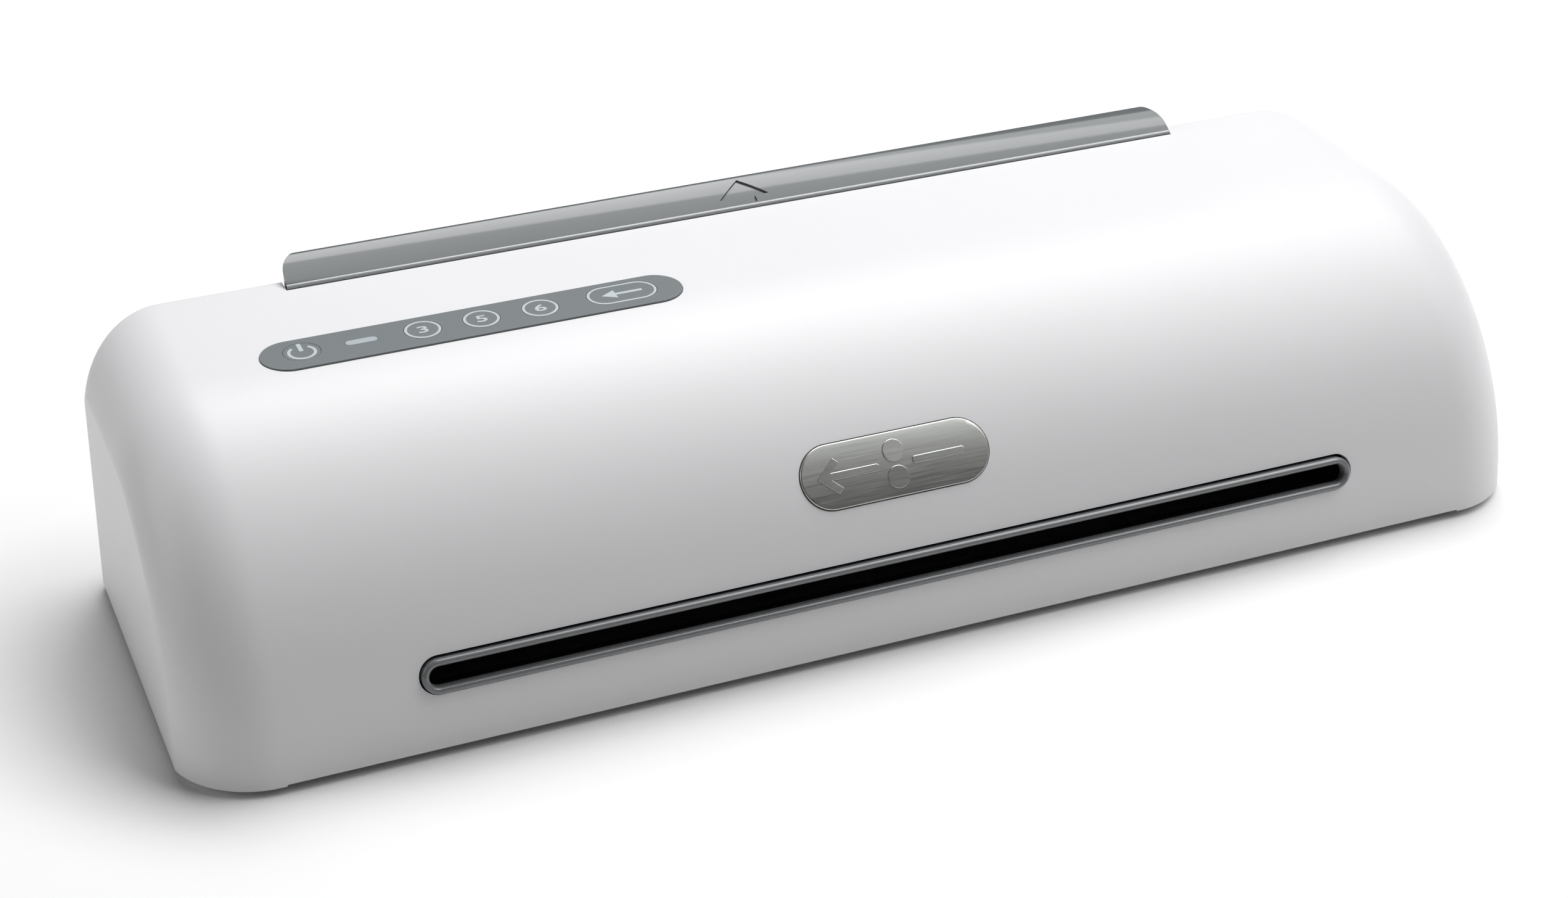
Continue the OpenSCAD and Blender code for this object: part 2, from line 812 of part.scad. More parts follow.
module lower_heater() {
    color("peru") in_path() translate([-110, 16, -4.9]) cube([220, 18, 1]);
}

module thermostat() {
    color("lightgray") {
        path_post(60, 25, 4.9, 2, 8);
        path_post(60, 25, 6.9, 5, 6.5);
        for (side = [-1, 1]) in_path()
            translate([60 + side * 4 - 1, 24.6, 11.9]) cube([2, 0.8, 4]);
    }
}

module thermal_fuse() {
    color("white") in_path() {
        translate([-20, 25, -6.9]) rotate([0, 90, 0]) cylinder(r = 2, h = 14);
        translate([-28, 25, -6.9]) rotate([0, 90, 0]) cylinder(r = 0.5, h = 30);
    }
}

// ---------- Motor ----------

module motor_bracket() {
    color("silver") {
        difference() {
            along_x(bracket_x, plate_t) translate([10, 31.75]) round_rect(62, 48.5, 5);
            rod(pinion_c, 6, bracket_x - 1, 4);
            for (c = standoff_yz) rod(c, 1.6, bracket_x - 1, 4);
        }
        for (c = standoff_yz) difference() {
            rod(c, 3, plate_x + plate_t, bracket_x - plate_x - plate_t);
            rod(c, 1.3, plate_x, bracket_x - plate_x + 1);
        }
    }
}

module motor() {
    color("gold") difference() {
        union() {
            rod(pinion_c, 23, bracket_x + plate_t, 20);
            rod(pinion_c, 5.8, bracket_x - 1, plate_t + 2);
        }
        rod(pinion_c, motor_shaft_r + shaft_fit, bracket_x - 2, 14);
    }
}

module motor_screws() {
    color("silver") for (c = standoff_yz) {
        rod(c, 1.3, bracket_x - 5, 5 + plate_t);
        rod(c, 2.6, bracket_x + plate_t, 1.6);
        rod(c, 1.3, plate_x, 6);
        rod(c, 2.6, plate_x - 1.6, 1.6);
    }
}

module motor_pinion() {
    color("ivory") {
        gear(pinion_c, pinion_teeth, pinion_dir + 180 + 180 / pinion_teeth, motor_shaft_r);
        rod(pinion_c, motor_shaft_r, gear_x - 1, bracket_x + 9 - gear_x);
    }
}

top_cover();
base_tray();
rubber_feet();
case_screws();
cord_gland();
badge_plate();
exit_bezel();
exit_guide_upper();
exit_guide_lower();
infeed_frame();
feed_tray();
tray_hinge_pins();
control_overlay();
ready_lens();
power_key();
key_3();
key_5();
key_6();
reverse_key();
control_board();
key_switches();
ready_led();
panel_ribbon();
main_board();
transformer();
relay();
smoothing_capacitor();
terminal_block();
board_screws();
side_plate_left();
side_plate_right();
tie_bars();
chassis_screws();
upper_roller();
upper_roller_shaft();
upper_gear();
upper_clips();
lower_roller();
lower_roller_shaft();
lower_gear();
lower_clips();
upper_bushes();
lower_bushes();
pinch_springs();
upper_heat_plate();
lower_heat_plate();
upper_heater();
lower_heater();
thermostat();
thermal_fuse();
motor_bracket();
motor();
motor_screws();
motor_pinion();
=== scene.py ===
# Looks of a pouch laminator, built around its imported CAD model. Metres, in the CAD frame.
import json
import math

import bmesh
import bpy
from mathutils import Matrix, Vector
from mathutils.bvhtree import BVHTree

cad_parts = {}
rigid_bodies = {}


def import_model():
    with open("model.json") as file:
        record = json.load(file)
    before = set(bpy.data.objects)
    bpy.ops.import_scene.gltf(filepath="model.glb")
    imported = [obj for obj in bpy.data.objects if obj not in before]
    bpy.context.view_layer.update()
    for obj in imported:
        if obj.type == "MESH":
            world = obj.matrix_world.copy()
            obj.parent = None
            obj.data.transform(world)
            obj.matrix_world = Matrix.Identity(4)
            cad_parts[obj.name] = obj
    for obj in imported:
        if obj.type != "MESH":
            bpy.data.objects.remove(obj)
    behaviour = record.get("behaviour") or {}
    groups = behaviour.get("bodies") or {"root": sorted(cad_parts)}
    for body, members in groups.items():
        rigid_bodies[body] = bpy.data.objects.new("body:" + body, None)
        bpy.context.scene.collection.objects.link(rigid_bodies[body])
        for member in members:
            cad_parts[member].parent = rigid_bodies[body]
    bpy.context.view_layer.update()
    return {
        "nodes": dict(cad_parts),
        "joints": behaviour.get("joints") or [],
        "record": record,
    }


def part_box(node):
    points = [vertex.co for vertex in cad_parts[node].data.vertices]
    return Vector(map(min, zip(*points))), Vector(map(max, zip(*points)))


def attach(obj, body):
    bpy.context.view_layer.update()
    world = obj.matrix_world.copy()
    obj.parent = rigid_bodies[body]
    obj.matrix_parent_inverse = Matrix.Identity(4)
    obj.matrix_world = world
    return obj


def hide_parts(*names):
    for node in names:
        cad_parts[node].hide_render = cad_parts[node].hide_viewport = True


for leftover in list(bpy.data.objects):
    bpy.data.objects.remove(leftover)
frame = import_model()
MM = 0.001

# ---------------------------------------------------------------- design sizes, in metres
# housing
BASE_LEAN = math.radians(5.4)
BASE_RISE = 6.1 * MM
FRONT_R = 73 * MM
BROW_R = 60 * MM
BROW_START = math.radians(56)
RIDGE_R = 4 * MM
END_R = 22 * MM
REAR_END_R = 15 * MM
END_START = math.radians(17)
END_DRAFT = 0.033
WALL = 2.5 * MM
GLAND_SEAT_R = 5.6 * MM
RELIEF_HALF = 155 * MM
RELIEF_DEPTH = 11 * MM
RELIEF_RISE = 0.4 * MM
# exit slot and its bezel
SLOT_Z = 20.3 * MM
SLOT_H = 5.1 * MM
BEZEL_L = 243.9 * MM
BEZEL_W = 8.5 * MM
BEZEL_GAP = 0.5 * MM
BEZEL_LIFT = 0.25 * MM
BEZEL_PROUD = 1.2 * MM
BEZEL_DEPTH = 5 * MM
BEZEL_BACK = 1.6 * MM
BEZEL_FLANGE = 2 * MM
# badge
BADGE_LEAN = math.radians(35.5)
BADGE_L = 49.1 * MM
BADGE_W = 15.8 * MM
BADGE_DEPTH = 1.2 * MM
BADGE_RISE = 0.45 * MM
BADGE_RIM_R = 0.35 * MM
BADGE_GAP = 0.25 * MM
# control panel and keys
PANEL_SINK = 0.4 * MM
PANEL_GAP = 0.15 * MM
KEY_R = 4.5 * MM
KEY_GAP = 0.15 * MM
KEY_FLANGE = 1.4 * MM
KEY_FLANGE_T = 1.2 * MM
KEY_FLANGE_DROP = 0.3 * MM
KEY_CAP_SINK = 0.3 * MM
KEY_STEM_R = 1.5 * MM
KEY_STEM_SINK = 0.5 * MM
REVERSE_L = 17.7 * MM
REVERSE_W = 9.5 * MM
RING_INSET = 0.1 * MM
LENS_L = 8 * MM
LENS_W = 2.6 * MM
LEGEND_RISE = 0.012 * MM
LEGEND_SINK = 0.05 * MM
NUMERAL_H = 4.6 * MM
NUMERAL_T = 0.02 * MM
NUMERAL_BOLD = 0.07 * MM
NUMERAL_STRETCH = 1.38
# feed tray
TRAY_WALL = 2 * MM
TRAY_EDGE_R = 9 * MM
TRAY_GAP = 0.3 * MM
SILL_GAP = 0.5 * MM
STRIP_R = 28.4 * MM
STRIP_W = 9.8 * MM
STRIP_START = math.radians(123)
STRIP_END = math.radians(104)
SHOULDER_R = 2 * MM
LIP_BACK = 0.7 * MM
ARROW_DEPTH = 0.5 * MM
TRAY_BEAD_R = 0.75 * MM
TRAY_BARREL_R = 3.2 * MM
TRAY_BORE_R = 1.55 * MM
TRAY_BORE_L = 9 * MM
TRAY_RIB_PITCH = 28 * MM
TRAY_RIB_W = 2 * MM
# how far a cutter reaches where it only has to end in free space
BEYOND = 130 * MM

# ---------------------------------------------------------------- places, worked out from the frame
cover_low, cover_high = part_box("top_cover")
tray_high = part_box("feed_tray")[1]
panel_low, panel_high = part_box("control_overlay")
FRONT_Y = cover_low[1]
REAR_Y = cover_high[1]
SHELL_Z = cover_low[2]
TOP_Z = cover_high[2]
BODY_HALF = cover_high[0] + END_R * (1 - math.cos(END_START))
HINGE = next(joint for joint in frame["joints"] if joint["name"] == "feed_tray_fold")["pos_m"][1:]
FRONT_C = (FRONT_Y + math.sin(BASE_LEAN) * BASE_RISE + FRONT_R * math.cos(BASE_LEAN),
           SHELL_Z + math.cos(BASE_LEAN) * BASE_RISE - FRONT_R * math.sin(BASE_LEAN))
BROW_C = (FRONT_C[0] - (FRONT_R - BROW_R) * math.cos(BROW_START),
          FRONT_C[1] + (FRONT_R - BROW_R) * math.sin(BROW_START))
SLOT_LEAN = math.asin((SLOT_Z - FRONT_C[1]) / FRONT_R)
SLOT_Y = FRONT_C[0] - FRONT_R * math.cos(SLOT_LEAN)
TRAY_HALF = tray_high[0]
TRAY_REAR = tray_high[1]
SHOULDER_C = (TRAY_REAR - SHOULDER_R, tray_high[2] - SHOULDER_R)
STRIP_C = (SHOULDER_C[0] + (SHOULDER_R - STRIP_R) * math.cos(STRIP_END),
           SHOULDER_C[1] + (SHOULDER_R - STRIP_R) * math.sin(STRIP_END))
LIP_Y = SHOULDER_C[0] - STRIP_W
NOTCH_Y = LIP_Y - TRAY_GAP
NOTCH_HALF = TRAY_HALF + TRAY_GAP
HUB_R = TRAY_REAR - HINGE[0]
SILL_Z = HINGE[1] - HUB_R - SILL_GAP
PANEL_X = (panel_low[0] + panel_high[0]) / 2
PANEL_Y = (panel_low[1] + panel_high[1]) / 2
PANEL_TOP = panel_high[2]


def middle(node):
    """Centre of a node's box."""
    low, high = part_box(node)
    return (Vector(low) + Vector(high)) / 2


KEYS = {name: middle(name) for name in ("power_key", "key_3", "key_5", "key_6", "reverse_key")}


# ---------------------------------------------------------------- materials
def new_material(name, base, rough, metallic=0.0, coat=0.0, specular=0.5):
    """A new material and its Principled shader."""
    mat = bpy.data.materials.new(name)
    mat.use_nodes = True
    shader = mat.node_tree.nodes["Principled BSDF"]
    shader.inputs["Base Color"].default_value = (*base, 1)
    shader.inputs["Roughness"].default_value = rough
    shader.inputs["Metallic"].default_value = metallic
    shader.inputs["Coat Weight"].default_value = coat
    shader.inputs["Coat Roughness"].default_value = 0.1
    shader.inputs["Specular IOR Level"].default_value = specular
    return mat, shader


def noise(mat, scale, stretch=(1, 1, 1), detail=4.0):
    """Noise over the object's own coordinates, in features per metre."""
    nodes, links = mat.node_tree.nodes, mat.node_tree.links
    coords = nodes.new("ShaderNodeTexCoord")
    mapping = nodes.new("ShaderNodeMapping")
    mapping.inputs["Scale"].default_value = stretch
    texture = nodes.new("ShaderNodeTexNoise")
    texture.inputs["Scale"].default_value = scale
    texture.inputs["Detail"].default_value = detail
    links.new(coords.outputs["Object"], mapping.inputs["Vector"])
    links.new(mapping.outputs["Vector"], texture.inputs["Vector"])
    return texture.outputs["Fac"]


def spread(mat, fac, low, high):
    """Maps the middle of a 0 to 1 value, where noise mostly lies, to a range."""
    node = mat.node_tree.nodes.new("ShaderNodeMapRange")
    node.inputs["From Min"].default_value = 0.3
    node.inputs["From Max"].default_value = 0.7
    node.inputs["To Min"].default_value = low
    node.inputs["To Max"].default_value = high
    mat.node_tree.links.new(fac, node.inputs["Value"])
    return node.outputs["Result"]


def blend_colors(mat, shader, fac, dark, light):
    """Base colour that goes from dark to light with a 0 to 1 value."""
    node = mat.node_tree.nodes.new("ShaderNodeMix")
    node.data_type = "RGBA"
    node.inputs["A"].default_value = (*dark, 1)
    node.inputs["B"].default_value = (*light, 1)
    mat.node_tree.links.new(fac, node.inputs["Factor"])
    mat.node_tree.links.new(node.outputs["Result"], shader.inputs["Base Color"])


def bump(mat, shader, height, strength, distance):
    """Fine relief from a height value."""
    node = mat.node_tree.nodes.new("ShaderNodeBump")
    node.inputs["Strength"].default_value = strength
    node.inputs["Distance"].default_value = distance
    mat.node_tree.links.new(height, node.inputs["Height"])
    mat.node_tree.links.new(node.outputs["Normal"], shader.inputs["Normal"])


def shade(color, factor):
    return tuple(min(1.0, channel * factor) for channel in color)


def plastic(name, base, rough, grain=2500, grain_depth=0.00001, mottle=0.02, coat=0.0, specular=0.5):
    """Moulded plastic: fine surface grain, slow colour drift and slightly uneven gloss."""
    mat, shader = new_material(name, base, rough, coat=coat, specular=specular)
    drift = noise(mat, 25, detail=2)
    blend_colors(mat, shader, spread(mat, drift, 0, 1), shade(base, 1 - mottle), shade(base, 1 + mottle))
    fine = noise(mat, grain, detail=3)
    mat.node_tree.links.new(spread(mat, fine, rough * 0.92, rough * 1.08), shader.inputs["Roughness"])
    bump(mat, shader, fine, 0.25, grain_depth)
    return mat


def metal(name, base, rough, stretch=(1, 60, 60), scale=60, depth=0.00002):
    """Metal with fine lines drawn along one axis."""
    mat, shader = new_material(name, base, rough, metallic=1.0)
    lines = noise(mat, scale, stretch, detail=6)
    blend_colors(mat, shader, spread(mat, lines, 0, 1), shade(base, 0.93), shade(base, 1.05))
    mat.node_tree.links.new(spread(mat, lines, rough * 0.85, rough * 1.15), shader.inputs["Roughness"])
    bump(mat, shader, lines, 0.3, depth)
    return mat


def rubber(name, base):
    """Matt rubber with an even, slightly rough skin."""
    mat, shader = new_material(name, base, 0.7, specular=0.3)
    fine = noise(mat, 1800, detail=5)
    blend_colors(mat, shader, spread(mat, fine, 0, 1), shade(base, 0.8), shade(base, 1.25))
    bump(mat, shader, fine, 0.4, 0.00004)
    return mat


def circuit_board(name, base):
    """Solder mask over copper tracks: a fine blocky pattern of two greens."""
    mat, shader = new_material(name, base, 0.35)
    nodes, links = mat.node_tree.nodes, mat.node_tree.links
    coords = nodes.new("ShaderNodeTexCoord")
    tracks = nodes.new("ShaderNodeTexVoronoi")
    tracks.distance = "CHEBYCHEV"
    tracks.inputs["Scale"].default_value = 260
    links.new(coords.outputs["Object"], tracks.inputs["Vector"])
    blend_colors(mat, shader, spread(mat, tracks.outputs["Distance"], 0, 1), shade(base, 1.7), base)
    bump(mat, shader, tracks.outputs["Distance"], 0.2, 0.00003)
    return mat


MATERIALS = {
    "housing_white": plastic("housing_white", (0.70, 0.70, 0.713), 0.42, grain_depth=0.000003,
                             mottle=0.006, specular=0.4),
    "base_white": plastic("base_white", (0.62, 0.62, 0.63), 0.55, grain=1600, grain_depth=0.00004),
    "foot_rubber": rubber("foot_rubber", (0.03, 0.03, 0.032)),
    "screw_steel": metal("screw_steel", (0.62, 0.62, 0.64), 0.35),
    "gland_rubber": rubber("gland_rubber", (0.02, 0.02, 0.021)),
    "badge_metal": metal("badge_metal", (0.48, 0.49, 0.47), 0.38, stretch=(0.12, 12, 12), scale=600,
                         depth=0.000004),
    "bezel_grey": plastic("bezel_grey", (0.16, 0.165, 0.17), 0.26, grain_depth=0.000004, coat=0.3),
    # black plastic of the exit guides, its colour pushed to near pure black as painted shade inside the
    # exit slot
    "guide_black": plastic("guide_black", (0.003, 0.003, 0.003), 0.85, grain=1500, grain_depth=0.00004,
                           mottle=0.2, specular=0.1),
    "tray_grey": plastic("tray_grey", (0.122, 0.132, 0.136), 0.085, grain_depth=0.000002, specular=0.3),
    # the lip's light grey is a painted highlight along the strip's front edge, not a second plastic
    "tray_lip_painted_highlight": plastic("tray_lip_painted_highlight", (0.33, 0.345, 0.35), 0.2, grain_depth=0.000003, coat=0.3),
    "pin_steel": metal("pin_steel", (0.6, 0.6, 0.62), 0.25),
    "panel_grey": plastic("panel_grey", (0.160, 0.178, 0.186), 0.38, grain=3500, grain_depth=0.000006,
                          mottle=0.03),
    "legend": plastic("legend", (0.46, 0.51, 0.53), 0.45, grain=3500),
    "lens_clear": plastic("lens_clear", (0.42, 0.47, 0.50), 0.3, grain=900, mottle=0.08),
    "board_green": circuit_board("board_green", (0.012, 0.11, 0.04)),
    "switch_black": plastic("switch_black", (0.02, 0.02, 0.02), 0.5),
    "led_green": plastic("led_green", (0.25, 0.6, 0.25), 0.2, coat=0.5),
    "ribbon_grey": plastic("ribbon_grey", (0.35, 0.36, 0.38), 0.5),
    "transformer_tape": plastic("transformer_tape", (0.55, 0.42, 0.06), 0.4, grain=500, mottle=0.1),
    "relay_blue": plastic("relay_blue", (0.02, 0.06, 0.22), 0.4),
    "capacitor_dark": plastic("capacitor_dark", (0.01, 0.012, 0.04), 0.3, coat=0.4),
    "terminal_green": plastic("terminal_green", (0.02, 0.16, 0.05), 0.45),
    "chassis_steel": metal("chassis_steel", (0.55, 0.56, 0.57), 0.38, stretch=(60, 1, 60)),
    "roller_silicone": plastic("roller_silicone", (0.27, 0.07, 0.03), 0.55, grain=900,
                               grain_depth=0.00003, mottle=0.08),
    "shaft_steel": metal("shaft_steel", (0.6, 0.6, 0.62), 0.25, stretch=(60, 1, 1)),
    "gear_nylon": plastic("gear_nylon", (0.74, 0.71, 0.60), 0.45, grain=700, grain_depth=0.00002),
    "bush_plastic": plastic("bush_plastic", (0.5, 0.4, 0.22), 0.5),
    "heat_aluminium": metal("heat_aluminium", (0.72, 0.72, 0.74), 0.4, stretch=(1, 40, 40)),
    "heater_mica": plastic("heater_mica", (0.33, 0.22, 0.10), 0.35, grain=300, mottle=0.25),
    "thermostat_metal": metal("thermostat_metal", (0.65, 0.65, 0.67), 0.3),
    "fuse_ceramic": plastic("fuse_ceramic", (0.75, 0.73, 0.68), 0.5),
    "motor_zinc": metal("motor_zinc", (0.60, 0.57, 0.44), 0.35),
}


# ---------------------------------------------------------------- mesh tools
def make(name, verts, faces):
    """New mesh object, linked to the scene."""
    mesh = bpy.data.meshes.new(name)
    mesh.from_pydata([tuple(v) for v in verts], [], faces)
    obj = bpy.data.objects.new(name, mesh)
    bpy.context.scene.collection.objects.link(obj)
    return obj


def tidy_normals(obj):
    """Joins doubled vertices and turns every face outwards."""
    work = bmesh.new()
    work.from_mesh(obj.data)
    bmesh.ops.remove_doubles(work, verts=work.verts, dist=1e-7)
    bmesh.ops.recalc_face_normals(work, faces=work.faces)
    work.to_mesh(obj.data)
    work.free()


def prism(name, outline, place, low, high):
    """Closed prism over a 2-D outline: place(u, v, w) turns its coordinates into a point."""
    count = len(outline)
    verts = [place(u, v, low) for u, v in outline] + [place(u, v, high) for u, v in outline]
    faces = [list(range(count))[::-1], [count + k for k in range(count)]]
    faces += [[k, (k + 1) % count, count + (k + 1) % count, count + k] for k in range(count)]
    obj = make(name, verts, faces)
    tidy_normals(obj)
    return obj


def bake(obj):
    """Applies the modifiers of an object."""
    graph = bpy.context.evaluated_depsgraph_get()
    mesh = bpy.data.meshes.new_from_object(obj.evaluated_get(graph))
    obj.modifiers.clear()
    obj.data = mesh


def combine(obj, cutter, operation="DIFFERENCE"):
    """Applies a boolean and removes its cutter."""
    modifier = obj.modifiers.new("cut", "BOOLEAN")
    modifier.operation = operation
    modifier.solver = "EXACT"
    modifier.object = cutter
    bake(obj)
    bpy.data.objects.remove(cutter)


def bevel(obj, width, segments=2, angle=40):
    """Rounds the edges that are sharper than an angle in degrees."""
    modifier = obj.modifiers.new("bevel", "BEVEL")
    modifier.width = width
    modifier.segments = segments
    modifier.limit_method = "ANGLE"
    modifier.angle_limit = math.radians(angle)
    modifier.use_clamp_overlap = True
    modifier.harden_normals = False
    bake(obj)


def smooth(obj, angle=40):
    """Smooth shading with sharp edges above an angle in degrees, and large faces kept flat."""
    for polygon in obj.data.polygons:
        polygon.use_smooth = True
    obj.data.set_sharp_from_angle(angle=math.radians(angle))
    modifier = obj.modifiers.new("normals", "WEIGHTED_NORMAL")
    modifier.weight = 100
    modifier.keep_sharp = True
    bake(obj)


def aim_normals(obj, candidates):
    """Gives face corners on a smooth surface that surface's own normal, so cuts leave no ripples.

    candidates(point) lists the normals of the smooth surfaces that pass through the point.
    """
    mesh = obj.data
    normals = [Vector(n.vector) for n in mesh.corner_normals]
    for polygon in mesh.polygons:
        for corner in polygon.loop_indices:
            options = candidates(mesh.vertices[mesh.loops[corner].vertex_index].co)
            if not options:
                continue
            best = max(options, key=polygon.normal.dot)
            if best.dot(polygon.normal) > math.cos(math.radians(20)):
                normals[corner] = best
    mesh.normals_split_custom_set([tuple(n) for n in normals])


def place_piece(obj, body, slot, replaced=(), material=None):
    """Gives a piece its material, named by material or else by slot, puts it on its body in the frame,
    and hides the nodes it replaces.
    """
    obj.data.materials.clear()
    obj.data.materials.append(MATERIALS[material or slot])
    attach(obj, body)
    if replaced:
        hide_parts(*replaced)


# ---------------------------------------------------------------- outlines
def arc(centre, radius, start, end, steps):
    """Points from one angle to another, both ends included."""
    turns = [start + (end - start) * k / steps for k in range(steps + 1)]
    return [(centre[0] + radius * math.cos(a), centre[1] + radius * math.sin(a)) for a in turns]


def pill(length, width, steps, centre):
    """Bar with round ends."""
    half = (length - width) / 2
    right = arc((centre[0] + half, centre[1]), width / 2, -math.pi / 2, math.pi / 2, steps)
    left = arc((centre[0] - half, centre[1]), width / 2, math.pi / 2, 3 * math.pi / 2, steps)
    return right + left


def circle(centre, radius, steps=64):
    """Round outline, its first point not repeated."""
    return arc(centre, radius, 0, 2 * math.pi, steps)[:-1]


def housing_outline(inset, rear_inset):
    """Front foot, bowed front, brow, flat top, ridge and rear wall, moved inwards."""
    radius = FRONT_R - inset
    foot = (FRONT_C[0] - radius * math.cos(BASE_LEAN), FRONT_C[1] + radius * math.sin(BASE_LEAN))
    base = (foot[0] - math.tan(BASE_LEAN) * (foot[1] - SHELL_Z), SHELL_Z)
    front = arc(FRONT_C, radius, math.pi - BASE_LEAN, math.pi - BROW_START, 36)
    brow = arc(BROW_C, BROW_R - inset, math.pi - BROW_START, math.pi / 2, 22)[1:]
    ridge = arc((REAR_Y - rear_inset - RIDGE_R, TOP_Z - inset - RIDGE_R), RIDGE_R, math.pi / 2, 0, 8)
    flat_y = brow[-1][0]
    ridge_y, ridge_z = ridge[0]
    flat = [(flat_y + (ridge_y - flat_y) * k / 16, ridge_z) for k in range(1, 16)]
    wall_y, wall_top = ridge[-1]
    wall = [(wall_y, wall_top + (SHELL_Z - wall_top) * k / 14) for k in range(1, 15)]
    foot_line = [(base[0] + (foot[0] - base[0]) * k / 3, base[1] + (foot[1] - base[1]) * k / 3)
                 for k in range(3)]
    return foot_line + front + brow + flat + ridge + wall


def housing_rings(inset):
    """Rings of the housing from its left end to its right end."""
    turns = [END_START + (math.pi / 2 - END_START) * k / 14 for k in range(15)]
    left = []
    for turn in turns:
        drop = END_R * (1 - math.sin(turn))
        outline = housing_outline(inset + drop, inset + drop * REAR_END_R / END_R)
        x = BODY_HALF - inset - END_R * (1 - math.cos(turn))
        left.append([(-(x - END_DRAFT * (z - SHELL_Z)), y, z) for y, z in outline])
    right = [[(-x, y, z) for x, y, z in ring] for ring in left[::-1]]
    spans = 40
    pairs = list(zip(left[-1], right[0]))
    between = [[tuple(a[i] + (b[i] - a[i]) * k / spans for i in range(3)) for a, b in pairs]
               for k in range(1, spans)]
    # a ring just inside each flat end face keeps the soft crease around it narrow
    share = 0.03
    centre_y = (FRONT_Y + REAR_Y) / 2 + 6 * MM
    centre_z = 20 * MM

    def inner(ring):
        return [(x, y + (centre_y - y) * share, z if z <= SHELL_Z + 1e-6 else z + (centre_z - z) * share)
                for x, y, z in ring]

    return [inner(left[0])] + left + between + right + [inner(right[-1])]


def skin(rings):
    """Vertices and faces over a row of rings, closed at both ends and open along the lower edge."""
    size = len(rings[0])
    verts = [p for ring in rings for p in ring]
    faces = [[k * size + j, (k + 1) * size + j, (k + 1) * size + j + 1, k * size + j + 1]
             for k in range(len(rings) - 1) for j in range(size - 1)]
    faces.append(list(range(size)))
    faces.append([(len(rings) - 1) * size + j for j in range(size)][::-1])
    return verts, faces


def along_x(u, v, w):
    """An outline in Y and Z that runs along X."""
    return (w, u, v)


def along_y(u, v, w):
    """An outline in X and Z that runs along Y."""
    return (u, w, v)


def upright(u, v, w):
    """An outline in X and Y that runs along Z."""
    return (u, v, w)


def in_slot(u, v, w):
    """Slot frame: u along the slot, v up the bowed front, w outwards."""
    return (u, SLOT_Y + v * math.sin(SLOT_LEAN) - w * math.cos(SLOT_LEAN),
            SLOT_Z + v * math.cos(SLOT_LEAN) + w * math.sin(SLOT_LEAN))


def on_front(u, v, w):
    """Wraps a flat shape on to the bowed front around the badge's centre; w is the height over it."""
    lean = BADGE_LEAN + v / FRONT_R
    return (u, FRONT_C[0] - (FRONT_R + w) * math.cos(lean), FRONT_C[1] + (FRONT_R + w) * math.sin(lean))


def key_outline(name, grow):
    """Outline of a key, moved outwards by grow."""
    centre = (KEYS[name].x, KEYS[name].y)
    if name == "reverse_key":
        return pill(REVERSE_L + 2 * grow, REVERSE_W + 2 * grow, 24, centre)
    return circle(centre, KEY_R + grow)


def panel_outline(grow, steps):
    """Outline of the control panel, moved outwards by grow."""
    return pill(panel_high[0] - panel_low[0] + 2 * grow, panel_high[1] - panel_low[1] + 2 * grow, steps,
                (PANEL_X, PANEL_Y))


# ---------------------------------------------------------------- housing
def wrapped_pill(name, length, width, low, high, rim=0.0):
    """Closed pill of even thickness that follows the bowed front, its outer edge rounded by rim."""
    straight = (length - width) / 2
    radius = width / 2
    turns = [math.pi / 2 * k / 24 for k in range(25)]
    # a column across the pill: the centre of its arc, and its turn towards the end
    columns = ([(-straight, -turn) for turn in turns[::-1]]
               + [(straight * k / 4, 0) for k in range(-3, 4)]
               + [(straight, turn) for turn in turns])
    steps = [(0, low)] + [(rim * (1 - math.cos(a)), high - rim * (1 - math.sin(a)))
                          for a in (0, math.pi / 6, math.pi / 3, math.pi / 2)]
    rows = 14

    def spot(column, inset, height, across):
        arc_x, turn = column
        reach = radius - inset
        return on_front(arc_x + reach * math.sin(turn), reach * math.cos(turn) * across, height)

    verts = []
    faces = []
    # lower and upper face
    for inset, height in (steps[0], steps[-1]):
        first = len(verts)
        for column in columns:
            verts += [spot(column, inset, height, 2 * k / rows - 1) for k in range(rows + 1)]
        for c in range(len(columns) - 1):
            for k in range(rows):
                a = first + c * (rows + 1) + k
                faces.append([a, a + 1, a + rows + 2, a + rows + 1])
    # edge, from the lower face over the rim to the upper face
    ring = [(column, -1) for column in columns] + [(column, 1) for column in columns[::-1]]
    first = len(verts)
    for inset, height in steps:
        verts += [spot(column, inset, height, across) for column, across in ring]
    size = len(ring)
    for step in range(len(steps) - 1):
        for k in range(size):
            a = first + step * size + k
            b = first + step * size + (k + 1) % size
            faces.append([a, b, b + size, a + size])
    obj = make(name, verts, faces)
    tidy_normals(obj)
    return obj


def housing_normals(verts, faces):
    """Normals of the uncut housing: a function that lists the one near a point of its surface."""
    clean = make("clean_skin", verts, faces)
    tidy_normals(clean)
    corners = [v.co.copy() for v in clean.data.vertices]
    normals = [v.normal.copy() for v in clean.data.vertices]
    quads = [list(p.vertices) for p in clean.data.polygons]
    tree = BVHTree.FromPolygons(corners, quads)
    bpy.data.objects.remove(clean)

    def candidates(point):
        place, _, face, distance = tree.find_nearest(point)
        if distance > 0.05 * MM or len(quads[face]) != 4:
            return []
        total = Vector((0, 0, 0))
        for index in quads[face]:
            total += normals[index] / max(1e-9, (corners[index] - place).length_squared)
        return [total.normalized()]

    return candidates


